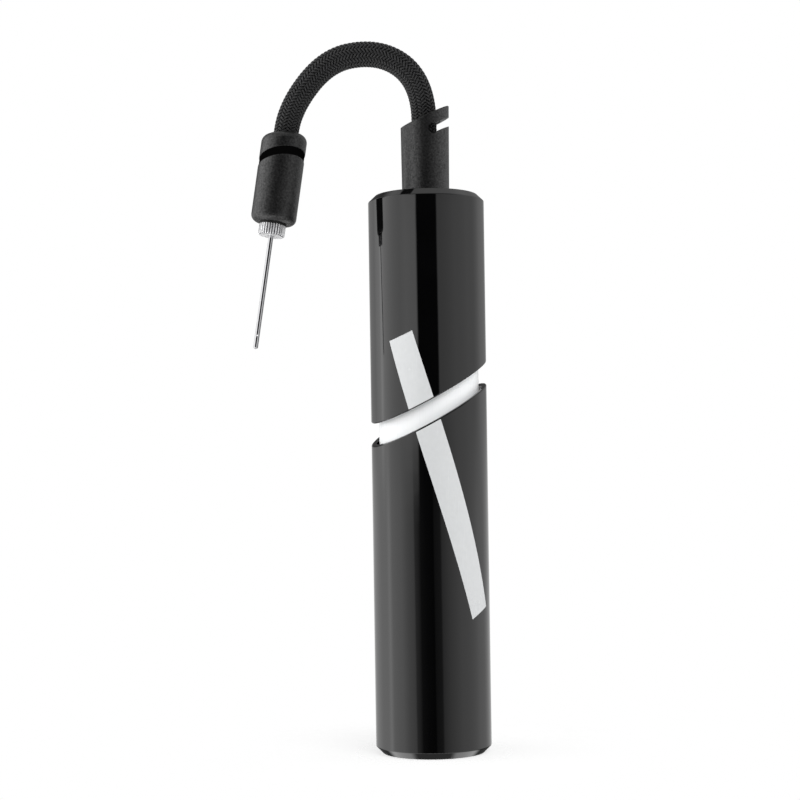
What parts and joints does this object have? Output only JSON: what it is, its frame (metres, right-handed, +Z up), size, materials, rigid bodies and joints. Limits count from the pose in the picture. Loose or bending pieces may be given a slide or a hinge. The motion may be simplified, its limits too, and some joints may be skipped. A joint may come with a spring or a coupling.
{
  "type": "ball inflation pump",
  "caption": "Hand pump for balls: two telescoping cylindrical grips with a slanted joint, a short braided hose and a screw-in inflation needle.",
  "frame": {"origin": "centre of the bottom cap's underside, on the pump's axis", "axes": "+Z up the pump's axis, +X away from the side on which the hose hangs, +Y towards the back"},
  "size_m": [0.0683, 0.034, 0.2092],
  "materials": {
    "grip_gloss": "high gloss black with a plain light graphic",
    "barrel_white": "smooth satin white",
    "nozzle_matte": "fine-grained matt black",
    "hose_braid": "black textile braid over a rubber tube",
    "nylon": "natural nylon",
    "seal_rubber": "black rubber",
    "fitting_brass": "turned brass",
    "ferrule_metal": "crimped aluminium",
    "needle_chrome": "bright nickel plate",
    "needle_steel": "polished steel tube",
    "rod_steel": "drawn steel"
  },
  "bodies": {
    "handle": {"bottom_cap": "grip_gloss", "lower_sleeve": "grip_gloss", "rod_screw": "rod_steel", "piston_rod": "rod_steel", "piston": "nylon", "piston_seal": "seal_rubber", "piston_guide_ring": "nylon", "piston_screw": "rod_steel"},
    "pump_head": {"upper_sleeve": "grip_gloss", "barrel": "barrel_white", "barrel_collar": "barrel_white", "head_plug": "nylon", "head_seal": "seal_rubber", "valve_seat": "nylon", "valve_spring": "rod_steel", "hose_barb": "fitting_brass", "hose_ferrule": "ferrule_metal", "hose_guide": "nozzle_matte", "rod_gland": "nylon", "gland_bumper": "seal_rubber", "hose": "hose_braid", "nozzle_ferrule": "ferrule_metal", "nozzle_barb": "fitting_brass", "nozzle_cap": "nozzle_matte", "nozzle_body": "nozzle_matte", "nozzle_socket": "fitting_brass", "nozzle_gasket": "seal_rubber"},
    "outlet_valve": {"valve_disc": "seal_rubber"},
    "needle": {"needle_hub": "needle_chrome", "needle_tube": "needle_steel"}
  },
  "joints": [
    {"name": "pump_stroke", "type": "slide", "parent": "handle", "child": "pump_head", "axis": [0, 0, 1], "range_m": [-0.006, 0.095]},
    {"name": "outlet_valve_lift", "type": "slide", "parent": "pump_head", "child": "outlet_valve", "axis": [0, 0, 1], "range_m": [0, 0.0008], "stiffness_N_per_m": 15, "springref_m": -0.001, "deforming": ["valve_spring"]},
    {"name": "needle_unscrew", "type": "slide", "parent": "pump_head", "child": "needle", "axis": [-0.1457, -0.069, -0.9869], "range_m": [0, 0.01]}
  ]
}
